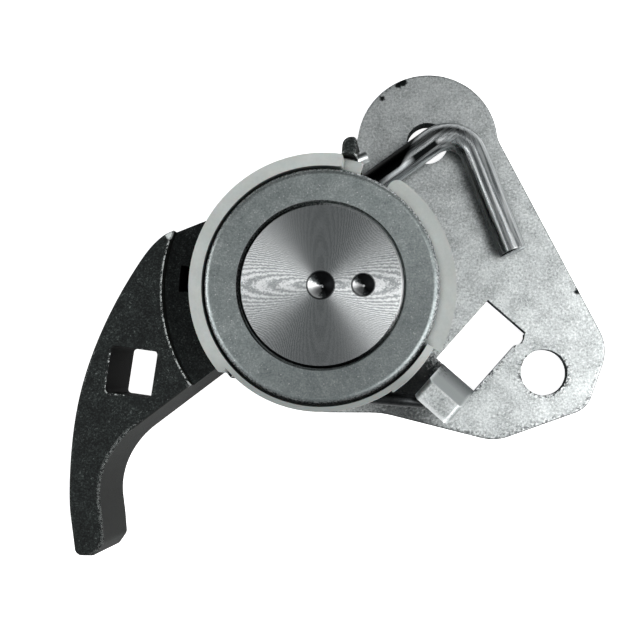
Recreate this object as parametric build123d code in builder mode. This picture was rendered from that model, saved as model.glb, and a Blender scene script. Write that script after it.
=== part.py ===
from build123d import *
import math
import os

os.makedirs("parts", exist_ok=True)

# Oil pump belt tensioner, in millimetres. The origin is on the pivot axis, on the back face of the base
# plate, +Z points away from the engine block and +X points from the pivot towards the two fixing bolts.

# Base plate: a steel stamping
PLATE_T = 4.2
PLATE_HUB_R = 25.6
PLATE_EDGE_ROLL = 0.5
PLATE_LEFT = [(2.0, 25.2), (6.9, 38.9), (34.0, 40.1)]
PLATE_RIGHT = [(60.3, -11.3), (55.6, -24.5), (35.8, -31.7)]
PLATE_RIGHT_RADII = [9.4, 6.0, 10.0]
PLATE_HOLLOW_X = 11.1
PLATE_HOLLOW_R = 20.0
LOBE_R = 15.5
LOBE_NECK_R = 6.0
TOP_HOLE = (21.2, 34.0)
TOP_HOLE_D = 9.2
SIDE_HOLE = (46.4, -16.7)
SIDE_HOLE_D = 10.0

# Window in the plate, and the tab that was cut from it and bent up
WINDOW_EDGE_MID = (27.2, -17.2)
WINDOW_ANGLE = 48.5
WINDOW_W = 10.9
WINDOW_L = 17.0
RELIEF_R = 2.0
RELIEF_OUT = 0.75
TAB_W = 9.0
TAB_HEIGHT = 16.2
TAB_LEAN = 26.0
TAB_BEND_R = 1.0
TAB_CORNER_R = 1.2

# Lock pin: a bent round rod that lies across the plate
PIN_D = 6.0
PIN_OFFSET = 14.3
PIN_ANGLE = 35.6
PIN_TIP = 3.0
PIN_ELBOW = 45.4
PIN_LEG_ANGLE = -69.2
PIN_LEG = 31.2
PIN_BEND_R = 6.2
PIN_END_ROUND = 0.7
PIN_BLOCK_START = 8.0

# Clearances
REST_GAP = 0.3
RUN_FIT = 0.05
PRESS_FIT = 0.02
SIDE_PLAY = 0.5
FACE_PLAY = 0.15

# A whole turn in degrees, and how near two lengths are to count as one
FULL_TURN = 360
SAME = 0.01

# Pivot stud
SHANK_R = 10.0
RIVET_R = 8.0
HEAD_R = 16.5
HEAD_CHAMFER = 0.5
DIMPLE_DEPTH = 1.9
DIMPLE_R = 2.7
DIMPLE_FLOOR_SHARE = 0.12
SIDE_DIMPLE_X = 8.45
SIDE_DIMPLE_R = 2.2
SPACER_WALL = 1.1

# Torsion spring of round wire
WIRE_D = 2.7
COIL_R = 21.4
COIL_PITCH = 2.75
COIL_WHOLE_TURNS = 2
COIL_END = 115.0
COIL_OUTER_CLEAR = 1.35
COIL_INNER_CLEAR = 1.43
LUG_LEG = 19.8

# Arm: bearing barrel, floor, skirt round the spring, and the curved pad that bears on the belt
BUSH_WALL = 1.45
ARM_FLOOR_T = 4.2
ARM_CLEAR = 0.8
PAD_T = 16.2
PAD_STEP = 3.0
PAD_INNER_R = 33.7
SKIRT_WALL = 2.3
FLOOR_START = 130.0
FLOOR_END = 235.0
SKIRT_END = 224.0
POCKET_R = 30.8
POCKET_START = 170.0
POCKET_END = 180.5
PAD_EDGE_R = 0.6
DRIVE_SQUARE = 9.8
DRIVE_CENTRE = (-39.8, -17.1)
DRIVE_TURN = -8.0
DRIVE_CORNER_R = 0.8

# Arm's outline: its back bears on the belt, its front faces the pivot, and its foot runs under the sleeve
ARM_BACK_TOP = [(-32.7, 11.8), (-39.0, 5.0), (-45.2, -6.1), (-49.9, -18.6)]
ARM_BACK_LOW = [(-52.2, -32.1), (-52.4, -44.8), (-51.2, -53.4)]
ARM_BACK_START = (-0.85, -0.5)
ARM_BACK_END = (0.14, -1)
ARM_TIP = [(-51.0, -54.8), (-46.9, -54.8), (-45.0, -52.0)]
ARM_TIP_RADII = [1.6, 1.5, 1.5]
ARM_FRONT = [(-45.4, -48.0), (-46.1, -42.4), (-45.4, -37.5), (-43.6, -33.6), (-41.2, -30.5), (-37.6, -27.5)]
ARM_FRONT_START = (-0.1, 1)
ARM_FRONT_END = (0.8, 0.6)
ARM_FOOT = [(-23.0, -16.5), (-10.0, 0.0), (-20.0, 16.6), (-26.5, 14.2)]

# Lug on the skirt that the spring's end passes through: the side-to-side places of its root and of its tip
LUG_ROOT_X = (1.6, 7.3)
LUG_TIP_X = (4.1, 6.9)
LUG_WALL = 3.2
LUG_RADII = [0, 1.8, 0.8, 0]
LUG_H = 4.0
LUG_EDGE_R = 0.6

# White sleeve over the spring, and the cap ring
SLEEVE_FLOOR_T = 1.5
SLEEVE_WALL_H = 4.4
SLEEVE_THICK_WALL = 2.6
SLEEVE_FLANGE_W = 2.85
SLEEVE_BAND_WALL = 1.0
SLEEVE_BAND_STEP = 0.4
THICK_START = 80.5
THICK_END = 221.0
TONGUE_SPAN = 8.1
FLANGE_START = -29.0
FLANGE_END = 57.5
BAND_STEP_AT = -56.0
SLEEVE_ROUND = 0.6
FLANGE_CORNER_R = 2.0
CAP_T = 4.4
CAP_STEP_T = 1.5
CAP_EDGE_R = 1.3
CAP_GROOVE = 0.5

# Heights, stacked from the plate's back face
pin_r = PIN_D / 2
pin_z = PLATE_T + REST_GAP + pin_r
pin_top = pin_z + pin_r
wire_r = WIRE_D / 2
arm_z = PLATE_T + ARM_CLEAR
spacer_top = pin_top + REST_GAP
floor_top = arm_z + ARM_FLOOR_T
coil_z = pin_top + REST_GAP

# The tab leans over the spring's lower leg, whose end stands a clearance short of the tab's face
window_dir = Vector(1, 0, 0).rotate(Axis.Z, WINDOW_ANGLE)
window_plane = Plane(origin=(*WINDOW_EDGE_MID, 0), x_dir=window_dir, z_dir=(0, 0, 1))
tab_shift = (WINDOW_W - TAB_W) / 2
tab_foot = window_plane.from_local_coords((0, -tab_shift, 0))
tab_plane = Plane(origin=tab_foot, x_dir=-window_dir, z_dir=window_plane.y_dir)
bend_out = TAB_BEND_R + PLATE_T
lean = math.radians(TAB_LEAN)
tab_inner_foot = (bend_out - TAB_BEND_R * math.cos(lean), bend_out + TAB_BEND_R * math.sin(lean))
tab_outer_foot = (bend_out - bend_out * math.cos(lean), bend_out + bend_out * math.sin(lean))
leg_drop = COIL_PITCH / (2 * math.pi)
leg_end_z = coil_z + wire_r - leg_drop
tab_face_x = tab_inner_foot[0] + (leg_end_z - tab_inner_foot[1]) * math.tan(lean)
tab_face = tab_plane.from_local_coords((tab_face_x, leg_end_z, 0))
tab_face_r = math.hypot(tab_face.X, tab_face.Y)
coil_start = math.degrees(math.atan2(tab_face.Y, tab_face.X) - math.acos(COIL_R / tab_face_r))
leg_dir = Vector(0, 1, 0).rotate(Axis.Z, coil_start)
leg_facing = leg_dir.dot(window_dir) * math.cos(lean)
leg_stand_off = (REST_GAP + wire_r * math.sqrt(1 - leg_facing**2)) / leg_facing
tab_leg = math.sqrt(tab_face_r**2 - COIL_R**2) - leg_stand_off
coil_turns = COIL_WHOLE_TURNS + (coil_start - COIL_END) % FULL_TURN / FULL_TURN

# Heights above the coil
coil_rise = COIL_PITCH * coil_turns
leg_rise = COIL_PITCH * LUG_LEG / (2 * math.pi * COIL_R)
skirt_top = coil_z + coil_rise + WIRE_D + leg_rise + REST_GAP
barrel_top = skirt_top + REST_GAP
sleeve_floor_top = skirt_top + SLEEVE_FLOOR_T
sleeve_top = sleeve_floor_top + SLEEVE_WALL_H
cap_z = sleeve_floor_top + SIDE_PLAY
cap_top = cap_z + CAP_T
head_z = cap_z + CAP_STEP_T
pad_top = arm_z + PAD_T

# Radii, worked out from the shank and from the coil
bush_in = SHANK_R + RUN_FIT
bush_out = bush_in + BUSH_WALL
barrel_in = bush_out + PRESS_FIT
barrel_out = COIL_R - wire_r - COIL_INNER_CLEAR
spacer_out = SHANK_R + SPACER_WALL
well_r = COIL_R + wire_r + COIL_OUTER_CLEAR
skirt_out = well_r + SKIRT_WALL
sleeve_in = barrel_out + SIDE_PLAY
thick_r = well_r + SLEEVE_THICK_WALL
skirt_start = math.degrees(math.acos(LUG_ROOT_X[1] / skirt_out))
tongue_start = THICK_START - TONGUE_SPAN
flange_r = well_r + SLEEVE_FLANGE_W
band_r = well_r + SLEEVE_BAND_WALL
cap_wall_r = well_r - SIDE_PLAY
lug_tip_y = flange_r + REST_GAP + LUG_WALL

# Directions of the pin: along its first leg, and square to it, away from the pivot
pin_dir = Vector(1, 0, 0).rotate(Axis.Z, PIN_ANGLE)
pin_side = Vector(0, 1, 0).rotate(Axis.Z, PIN_ANGLE)
pin_foot = pin_side * PIN_OFFSET
pin_plane = Plane(origin=(0, 0, 0), x_dir=pin_dir, z_dir=(0, 0, 1))
pin_block_mid = (PIN_BLOCK_START + PIN_ELBOW) / 2
pin_block_l = PIN_ELBOW - PIN_BLOCK_START


def sector(inner, outer, start, end):
    """A flat ring sector about the pivot axis, from one angle to the next, anticlockwise."""
    with BuildSketch() as piece:
        with BuildLine():
            far = CenterArc((0, 0), outer, start, end - start)
            near = CenterArc((0, 0), inner, start, end - start)
            Line(near @ 0, far @ 0)
            Line(near @ 1, far @ 1)
        make_face()
    return piece.sketch


def save(part, name):
    """Labels a finished piece and writes its file."""
    part.label = name
    export_step(part, "parts/" + name + ".step")
    print(name, "volume", round(part.volume, 1), "solids", len(part.solids()))


# Base plate with its window, bolt holes, rivet hole and tab
tab_inner_tip = (tab_inner_foot[0] + (TAB_HEIGHT - tab_inner_foot[1]) * math.tan(lean), TAB_HEIGHT)
tab_outer_tip = (tab_outer_foot[0] + (TAB_HEIGHT - tab_outer_foot[1]) * math.tan(lean), TAB_HEIGHT)
plate_foot = [(PLATE_HOLLOW_X, -PLATE_HUB_R), (0, -PLATE_HUB_R), (0, 0)]

with BuildPart() as base_plate:
    with BuildSketch() as plate_outline:
        with BuildLine():
            FilletPolyline(
                *PLATE_LEFT,
                *PLATE_RIGHT,
                *plate_foot,
                radius=[0, 0, 0, *PLATE_RIGHT_RADII, PLATE_HOLLOW_R, 0, 0],
                close=True,
            )
        make_face()
        Circle(PLATE_HUB_R)
        with Locations(TOP_HOLE):
            Circle(LOBE_R)
        lobe_mid = Vector(*TOP_HOLE, 0)
        necks = [v for v in plate_outline.vertices() if abs(v.distance_to(lobe_mid) - LOBE_R) < SAME]
        fillet(necks, LOBE_NECK_R)
    extrude(amount=PLATE_T)
    fillet(base_plate.faces().sort_by(Axis.Z)[-1].outer_wire().edges(), PLATE_EDGE_ROLL)
    with BuildSketch(window_plane):
        with Locations((WINDOW_L / 2, 0)):
            Rectangle(WINDOW_L, WINDOW_W)
        with Locations((WINDOW_L - RELIEF_R, -WINDOW_W / 2 + RELIEF_R - RELIEF_OUT)):
            Circle(RELIEF_R)
    extrude(amount=PLATE_T, mode=Mode.SUBTRACT)
    with BuildSketch(window_plane):
        with Locations((-bend_out / 2, -tab_shift)):
            Rectangle(bend_out, TAB_W)
    extrude(amount=PLATE_T, mode=Mode.SUBTRACT)
    with BuildSketch(tab_plane):
        with BuildLine():
            outer_arc = CenterArc((bend_out, bend_out), bend_out, 270, -90 - TAB_LEAN)
            inner_arc = CenterArc((bend_out, bend_out), TAB_BEND_R, 270, -90 - TAB_LEAN)
            Line(outer_arc @ 0, inner_arc @ 0)
            Polyline(outer_arc @ 1, tab_outer_tip, tab_inner_tip, inner_arc @ 1)
        make_face()
    extrude(amount=TAB_W / 2, both=True)
    tab_tip = base_plate.faces().sort_by(Axis.Z)[-1]
    fillet(tab_tip.edges().sort_by(SortBy.LENGTH)[:2], TAB_CORNER_R)
    with Locations((*TOP_HOLE, PLATE_T)):
        Hole(TOP_HOLE_D / 2)
    with Locations((*SIDE_HOLE, PLATE_T)):
        Hole(SIDE_HOLE_D / 2)
    with Locations((0, 0, PLATE_T)):
        Hole(RIVET_R + PRESS_FIT)
save(base_plate.part, "base_plate")

# Pivot stud, turned in one piece, its foot riveted into the plate, with two centre drillings in its head
with BuildPart() as pivot_stud:
    with BuildSketch(Plane.XZ):
        with BuildLine():
            Polyline(
                (0, 0),
                (RIVET_R, 0),
                (RIVET_R, PLATE_T),
                (SHANK_R, PLATE_T),
                (SHANK_R, head_z),
                (HEAD_R, head_z),
                (HEAD_R, cap_top),
                (0, cap_top),
                close=True,
            )
        make_face()
    revolve(axis=Axis.Z)
    rim = pivot_stud.edges().filter_by(GeomType.CIRCLE).group_by(Axis.Z)[-1]
    chamfer(rim, HEAD_CHAMFER)
    for centre_x, mouth_r in ((0, DIMPLE_R), (SIDE_DIMPLE_X, SIDE_DIMPLE_R)):
        with Locations((centre_x, 0, cap_top - DIMPLE_DEPTH / 2)):
            Cone(mouth_r * DIMPLE_FLOOR_SHARE, mouth_r, DIMPLE_DEPTH, mode=Mode.SUBTRACT)
save(pivot_stud.part, "pivot_stud")

# Spacer ring round the foot of the shank, which carries the arm above the pin
with BuildPart() as spacer_ring:
    with BuildSketch(Plane.XY.offset(PLATE_T)):
        Circle(spacer_out)
        Circle(SHANK_R + PRESS_FIT, mode=Mode.SUBTRACT)
    extrude(amount=spacer_top - PLATE_T)
save(spacer_ring.part, "spacer_ring")

# Bearing bush, pressed into the arm's barrel
with BuildPart() as bearing_bush:
    with BuildSketch(Plane.XY.offset(spacer_top + FACE_PLAY)):
        Circle(bush_out)
        Circle(bush_in, mode=Mode.SUBTRACT)
    extrude(amount=barrel_top - spacer_top - FACE_PLAY)
save(bearing_bush.part, "bearing_bush")

# Thrust washer between the barrel and the cap ring
with BuildPart() as thrust_washer:
    with BuildSketch(Plane.XY.offset(barrel_top)):
        Circle(barrel_out)
        Circle(bush_in, mode=Mode.SUBTRACT)
    extrude(amount=cap_z - FACE_PLAY - barrel_top)
save(thrust_washer.part, "thrust_washer")

# Cap ring: a turned cup that the stud's head holds down, with a rounded outer edge
with BuildPart() as cap_ring:
    with BuildSketch(Plane.XY.offset(cap_z)):
        Circle(cap_wall_r)
        Circle(SHANK_R + PRESS_FIT, mode=Mode.SUBTRACT)
    extrude(amount=CAP_T)
    with BuildSketch(Plane.XY.offset(head_z)):
        Circle(HEAD_R + CAP_GROOVE)
    extrude(amount=CAP_T - CAP_STEP_T, mode=Mode.SUBTRACT)
    cap_rim = cap_ring.edges().filter_by(GeomType.CIRCLE).group_by(Axis.Z)[-1].sort_by(SortBy.RADIUS)[-1]
    fillet(cap_rim, CAP_EDGE_R)
save(cap_ring.part, "cap_ring")

# Torsion spring: straight legs run off the coil as tangents, one to the plate's tab and one through the lug
helix = Helix(COIL_PITCH, coil_rise, COIL_R, lefthand=True)
coil = Pos(0, 0, coil_z + wire_r) * Rot(0, 0, coil_start) * helix
tab_end = coil @ 0 - (coil % 0) * tab_leg
lug_end = coil @ 1 + (coil % 1) * LUG_LEG
lug_leg_plane = Plane(origin=coil @ 1, z_dir=coil % 1)

with BuildPart() as torsion_spring:
    with BuildLine():
        Line(tab_end, coil @ 0)
        add(coil)
        Line(coil @ 1, lug_end)
    with BuildSketch(Plane(origin=tab_end, z_dir=coil % 0)):
        Circle(wire_r)
    sweep(is_frenet=True)
save(torsion_spring.part, "torsion_spring")

# Arm: the pad's outline is one closed line, cut back to a ring round the spring
with BuildPart() as arm:
    with BuildSketch(Plane.XY.offset(arm_z)):
        with BuildLine():
            back = Spline(*ARM_BACK_TOP, *ARM_BACK_LOW, tangents=(ARM_BACK_START, ARM_BACK_END))
            front = Spline(*ARM_FRONT, tangents=(ARM_FRONT_START, ARM_FRONT_END))
            FilletPolyline(back @ 1, *ARM_TIP, front @ 0, radius=ARM_TIP_RADII)
            Polyline(front @ 1, *ARM_FOOT, back @ 0)
        make_face()
    extrude(amount=PAD_T)
    fillet(arm.faces().sort_by(Axis.Z)[-1].outer_wire().edges(), PAD_EDGE_R)
    with BuildSketch(Plane.XY.offset(pad_top)):
        Circle(PAD_INNER_R)
    extrude(amount=-PAD_STEP, mode=Mode.SUBTRACT)
    with BuildSketch(Plane.XY.offset(arm_z)):
        Circle(well_r)
    extrude(amount=PAD_T, mode=Mode.SUBTRACT)
    with BuildSketch(Plane.XY.offset(arm_z)):
        add(sector(well_r, skirt_out, skirt_start, SKIRT_END))
    extrude(amount=skirt_top - arm_z)
    with BuildSketch(Plane.XY.offset(arm_z)):
        add(sector(barrel_in, well_r + SKIRT_WALL / 2, FLOOR_START, FLOOR_END))
    extrude(amount=ARM_FLOOR_T)
    with BuildSketch(Plane.XY.offset(arm_z)):
        add(sector(barrel_in, barrel_out, FLOOR_START, FLOOR_END))
    extrude(amount=coil_z - arm_z)
    with BuildSketch(Plane.XY.offset(coil_z)):
        Circle(barrel_out)
        Circle(barrel_in, mode=Mode.SUBTRACT)
    extrude(amount=barrel_top - coil_z)
    with BuildSketch(Plane.XY.offset(coil_z)):
        with BuildLine():
            FilletPolyline(
                (LUG_ROOT_X[0], 0),
                (LUG_TIP_X[0], lug_tip_y),
                (LUG_TIP_X[1], lug_tip_y),
                (LUG_ROOT_X[1], 0),
                radius=LUG_RADII,
                close=True,
            )
        make_face()
        Circle(well_r, mode=Mode.SUBTRACT)
    extrude(amount=skirt_top + LUG_H - coil_z)
    with BuildSketch(Plane.XY.offset(skirt_top)):
        Circle(flange_r + REST_GAP)
        Circle(barrel_out + PRESS_FIT, mode=Mode.SUBTRACT)
    extrude(amount=LUG_H, mode=Mode.SUBTRACT)
    with BuildSketch(lug_leg_plane):
        Circle(wire_r + REST_GAP)
    extrude(amount=LUG_LEG, mode=Mode.SUBTRACT)
    with BuildSketch(pin_plane):
        with Locations((pin_block_mid, PIN_OFFSET / 2 + (pin_r + REST_GAP) / 2)):
            Rectangle(pin_block_l, PIN_OFFSET + pin_r + REST_GAP)
    extrude(amount=spacer_top, mode=Mode.SUBTRACT)
    with BuildSketch(Plane.XY.offset(floor_top)):
        add(sector(well_r, POCKET_R, POCKET_START, POCKET_END))
    extrude(amount=PAD_T, mode=Mode.SUBTRACT)
    drive_dir = Vector(1, 0, 0).rotate(Axis.Z, DRIVE_TURN)
    with BuildSketch(Plane(origin=(*DRIVE_CENTRE, arm_z), x_dir=drive_dir)):
        RectangleRounded(DRIVE_SQUARE, DRIVE_SQUARE, DRIVE_CORNER_R)
    extrude(amount=PAD_T, mode=Mode.SUBTRACT)
    lug_face = arm.faces().filter_by(Axis.Z).sort_by(Axis.Z)[-1]
    fillet(lug_face.outer_wire().edges(), LUG_EDGE_R)
save(arm.part, "arm")

# White sleeve: a floor on top of the spring, with a thick wall, a thin wall and an open flange
sleeve_wall_end = Vector(thick_r, 0, sleeve_top).rotate(Axis.Z, THICK_END)
sleeve_wall_start = Vector(thick_r, 0, sleeve_top).rotate(Axis.Z, THICK_START)
sleeve_flange_end = Vector(flange_r, 0, skirt_top).rotate(Axis.Z, FLANGE_END)

with BuildPart() as spring_sleeve:
    with BuildSketch(Plane.XY.offset(skirt_top)):
        Circle(well_r)
        add(sector(sleeve_in, thick_r, tongue_start, THICK_END))
        add(sector(sleeve_in, flange_r, FLANGE_START, FLANGE_END))
        add(sector(sleeve_in, band_r, THICK_END - FULL_TURN, BAND_STEP_AT))
        add(sector(sleeve_in, band_r + SLEEVE_BAND_STEP, BAND_STEP_AT, FLANGE_START))
        Circle(sleeve_in, mode=Mode.SUBTRACT)
    extrude(amount=SLEEVE_FLOOR_T)
    with BuildSketch(Plane.XY.offset(sleeve_floor_top)):
        add(sector(well_r, thick_r, THICK_START, THICK_END))
        add(sector(well_r, band_r, THICK_END - FULL_TURN, BAND_STEP_AT))
        add(sector(well_r, band_r + SLEEVE_BAND_STEP, BAND_STEP_AT, FLANGE_START))
    extrude(amount=SLEEVE_WALL_H)
    upright = spring_sleeve.edges().filter_by(Axis.Z)
    far_end = upright.sort_by_distance(sleeve_wall_end)[:1]
    near_end = upright.sort_by_distance(sleeve_wall_start)[:2]
    fillet(far_end + near_end, SLEEVE_ROUND)
    fillet(spring_sleeve.edges().filter_by(Axis.Z).sort_by_distance(sleeve_flange_end)[0], FLANGE_CORNER_R)
save(spring_sleeve.part, "spring_sleeve")

# Lock pin, bent from round rod
pin_tip = pin_foot + pin_dir * PIN_TIP + Vector(0, 0, pin_z)
pin_elbow = pin_foot + pin_dir * PIN_ELBOW + Vector(0, 0, pin_z)
pin_end = pin_elbow + Vector(1, 0, 0).rotate(Axis.Z, PIN_LEG_ANGLE) * PIN_LEG

with BuildPart() as lock_pin:
    with BuildLine():
        FilletPolyline(pin_tip, pin_elbow, pin_end, radius=PIN_BEND_R)
    with BuildSketch(Plane(origin=pin_tip, z_dir=pin_dir)):
        Circle(pin_r)
    sweep()
    fillet(lock_pin.edges().filter_by(GeomType.CIRCLE).sort_by_distance(pin_end)[0], PIN_END_ROUND)
    fillet(lock_pin.edges().filter_by(GeomType.CIRCLE).sort_by_distance(pin_tip)[0], PIN_END_ROUND)
save(lock_pin.part, "lock_pin")
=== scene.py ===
# %% [markdown]
# An oil pump belt tensioner, dressed for its picture.
#
# The part is a small machine: a pressed steel plate carries a turned stud, and a dark cast arm swings on the stud
# against a coiled spring. A bent rod locks the arm for the journey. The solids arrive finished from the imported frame,
# so this script works on what the eye reads next: how each surface was made, how worn it is, and the light on it.

import math

import bmesh
import bpy
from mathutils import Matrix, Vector


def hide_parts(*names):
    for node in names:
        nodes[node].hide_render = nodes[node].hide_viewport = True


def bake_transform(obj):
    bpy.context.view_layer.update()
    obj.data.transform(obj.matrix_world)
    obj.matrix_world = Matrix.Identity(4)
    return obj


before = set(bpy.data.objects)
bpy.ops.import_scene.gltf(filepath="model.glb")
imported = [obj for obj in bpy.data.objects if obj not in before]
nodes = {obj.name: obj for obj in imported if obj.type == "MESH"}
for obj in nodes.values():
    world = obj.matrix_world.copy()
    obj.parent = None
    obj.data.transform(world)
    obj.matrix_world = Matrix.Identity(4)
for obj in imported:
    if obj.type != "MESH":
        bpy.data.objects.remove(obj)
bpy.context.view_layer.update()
MM = 0.001
print("nodes:", ", ".join(sorted(nodes)))

# %% [markdown]
# The photograph looks straight down on the plate from about a hand's span away, so near things lean outwards. How far
# each circle and edge leans gives the camera's place: about 220 mm above the plate, over a point to the lower right of
# the pivot. A camera could be aimed by eye, but a fitted one keeps every wall of the arm as wide as it is seen.

# %% Camera
CAMERA_MM = (20.05, -21.53, 219.71)
CAMERA_TURN_DEG = (3.36, 4.42, 0.19)
CAMERA_SHIFT = (-0.041, 0.026)
LENS_MM = 55.22
SENSOR_MM = 36.0
NEAREST_M, FARTHEST_M = 0.01, 10.0

camera_data = bpy.data.cameras.new("camera")
camera_data.sensor_width = SENSOR_MM
camera_data.lens = LENS_MM
camera_data.shift_x, camera_data.shift_y = CAMERA_SHIFT
camera_data.clip_start, camera_data.clip_end = NEAREST_M, FARTHEST_M
camera = bpy.data.objects.new("camera", camera_data)
camera.location = [value * MM for value in CAMERA_MM]
camera.rotation_euler = [math.radians(value) for value in CAMERA_TURN_DEG]
bpy.context.scene.collection.objects.link(camera)
bpy.context.scene.camera = camera
print("camera at", [round(value, 4) for value in camera.location])

# %% [markdown]
# The room and every finish below are small networks of nodes. They could be clicked together by hand. Here one helper
# adds a node with its settings and plugs its inputs, so that a finish reads as a few lines.
#
# Some nodes have several sockets of one name, so those are given by number. A Map Range reads its input from 1 to 2
# and gives 3 to 4, which are nothing and one unless they are set. A Mix takes its share at 0, and then two values at
# 2 and 3 or two colours at 6 and 7, and gives its colour as output 2.


# %% Colour and node helpers
def linear(code):
    """An sRGB hex colour as linear red, green, blue and alpha."""
    channels = [int(code[i : i + 2], 16) / 255 for i in (1, 3, 5)]
    return tuple(c / 12.92 if c <= 0.04045 else ((c + 0.055) / 1.055) ** 2.4 for c in channels) + (1.0,)


def put(owner, kind, settings=None, links=None):
    """Adds a node. Settings are its properties, its sockets by name or number, or a ramp's stops; links plug it in."""
    node = owner.node_tree.nodes.new(kind)
    for name, value in (settings or {}).items():
        if name == "stops":
            line = node.color_ramp.elements
            while len(line) < len(value):
                line.new(0.5)
            for stop, (place, code) in zip(line, value):
                stop.position = place
                stop.color = linear(code)
        elif isinstance(name, str) and hasattr(node, name):
            setattr(node, name, value)
        else:
            node.inputs[name].default_value = value
    for name, source in (links or {}).items():
        socket = source if isinstance(source, bpy.types.NodeSocket) else source.outputs[0]
        owner.node_tree.links.new(socket, node.inputs[name])
    return node


def level_way(degrees):
    """A level direction of length one, turned this far anticlockwise from the right."""
    return (math.cos(math.radians(degrees)), math.sin(math.radians(degrees)), 0.0)


print("white is", linear("#FFFFFF"))

# %% [markdown]
# Metal has no look of its own: it shows what stands round it. A light tent would make every face the same grey, so
# the room here is a pale dome with soft boxes. One side of the dome is left dark, so that a bright rod has something
# black to mirror.

# %% The room
DOME = [(0.0, "#2A2C2D"), (0.3, "#5A5D5E"), (0.62, "#9EA1A2"), (0.86, "#8B8E8F"), (1.0, "#707374")]
world = bpy.data.worlds.new("room")
bpy.context.scene.world = world
world.use_nodes = True
backdrop = world.node_tree.nodes["Background"]
outwards = put(world, "ShaderNodeTexCoord").outputs["Generated"]
upwards = put(world, "ShaderNodeSeparateXYZ", links={0: outwards}).outputs["Z"]
dome = put(world, "ShaderNodeValToRGB", {"stops": DOME}, {0: upwards})
world.node_tree.links.new(dome.outputs[0], backdrop.inputs["Color"])
print("dome of", len(DOME), "tones")

# %% The room's shady side
SHADY_DEG = 118.0
SHADE_FROM, SHADE_FULL = 0.15, 0.55
LIGHT_IN_SHADE = 0.08
shady_way = {"operation": "DOT_PRODUCT", 1: level_way(SHADY_DEG)}
to_shade = put(world, "ShaderNodeVectorMath", shady_way, {0: outwards}).outputs["Value"]
shading = {1: SHADE_FROM, 2: SHADE_FULL, 3: 1.0, 4: LIGHT_IN_SHADE}
room_light = put(world, "ShaderNodeMapRange", shading, {0: to_shade})
world.node_tree.links.new(room_light.outputs[0], backdrop.inputs["Strength"])
print("shady side at", SHADY_DEG, "degrees")

# %% [markdown]
# A lathe faced disc lit from one low side shines on both sides of its middle. A low box at the right and one at the
# left draw the bow tie, and a thin strip widens it to the lower right. A high box puts the bright end on the plate,
# and two small ones draw the streaks on the bent rod. One big lamp would light all of this evenly and draw none of it.

# %% Soft boxes
HUB_MM = (0.0, 0.0, 10.0)
PLATE_END_MM = (70.0, -14.0, 0.0)
ROD_MM = (50.0, 20.0, 8.0)
# Each row: name, direction and height in degrees, distance and size in millimetres, watts, and the point it looks at.
SOFT_BOXES = [
    ("right_box", -2, 22, 450, (290, 170), 0.45, HUB_MM),
    ("spoke_strip", -30, 24, 450, (26, 170), 0.03, HUB_MM),
    ("left_box", 176, 24, 450, (240, 150), 0.48, HUB_MM),
    ("plate_box", -22, 60, 400, (280, 280), 1.12, PLATE_END_MM),
    ("rod_strip_left", 193, 44, 380, (110, 60), 0.09, ROD_MM),
    ("rod_strip_right", 54, 74, 380, (90, 60), 0.05, ROD_MM),
]


def soft_box(name, azimuth_deg, elevation_deg, distance_mm, size_mm, watts, target_mm):
    """A rectangular lamp at a direction and distance from a point of the part, looking at that point."""
    data = bpy.data.lights.new(name, "AREA")
    data.shape = "RECTANGLE"
    data.size = size_mm[0] * MM
    data.size_y = size_mm[1] * MM
    data.energy = watts
    lamp = bpy.data.objects.new(name, data)
    bpy.context.scene.collection.objects.link(lamp)
    elevation = math.radians(elevation_deg)
    away = Vector(level_way(azimuth_deg)) * math.cos(elevation)
    away.z = math.sin(elevation)
    lamp.location = (Vector(target_mm) + away * distance_mm) * MM
    lamp.rotation_euler = (-away).to_track_quat("-Z", "Y").to_euler()


for row in SOFT_BOXES:
    soft_box(*row)
bpy.context.scene.view_settings.view_transform = "Standard"

# %% [markdown]
# The backdrop is a plain white sheet under the part. A large flat mesh would do; this one curls up at its far edges,
# as a paper sweep does, so that a low view still has paper behind it. Like the spring further down, it is built from
# rings of points with a skin between them.

# %% Floor
FLOOR_RADIUS_MM = 900.0
FLOOR_RISE_MM = 260.0
FLOOR_CURLS_FROM = 0.6
FLOOR_RINGS = 24
FLOOR_STEPS = 96


def skin(mesh, rings):
    """Smooth four sided faces between each ring of points and the next."""
    for near, far in zip(rings, rings[1:]):
        for step in range(len(near)):
            after = (step + 1) % len(near)
            mesh.faces.new((near[step], near[after], far[after], far[step])).smooth = True


def finished(mesh, name):
    """A mesh under construction as an object in the scene."""
    data = bpy.data.meshes.new(name)
    mesh.to_mesh(data)
    mesh.free()
    piece = bpy.data.objects.new(name, data)
    bpy.context.scene.collection.objects.link(piece)
    return piece


def paper_sweep():
    """A round sheet whose edge turns up in a smooth curve."""
    mesh = bmesh.new()
    rings = []
    for ring in range(1, FLOOR_RINGS + 1):
        share = ring / FLOOR_RINGS
        radius = FLOOR_RADIUS_MM * share
        rise = FLOOR_RISE_MM * max(0.0, (share - FLOOR_CURLS_FROM) / (1.0 - FLOOR_CURLS_FROM)) ** 2
        circle = []
        for step in range(FLOOR_STEPS):
            angle = 2 * math.pi * step / FLOOR_STEPS
            circle.append(mesh.verts.new((radius * math.cos(angle) * MM, radius * math.sin(angle) * MM, rise * MM)))
        rings.append(circle)
    mesh.faces.new(rings[0]).smooth = True
    skin(mesh, rings[::-1])
    return mesh


floor = finished(paper_sweep(), "paper_sweep")
print("floor faces:", len(floor.data.polygons))

# %% [markdown]
# A new material starts with a shader, an output and the part's own coordinates in millimetres, so that each pattern
# can be given its real size and stays on its piece when that piece moves.


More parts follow.
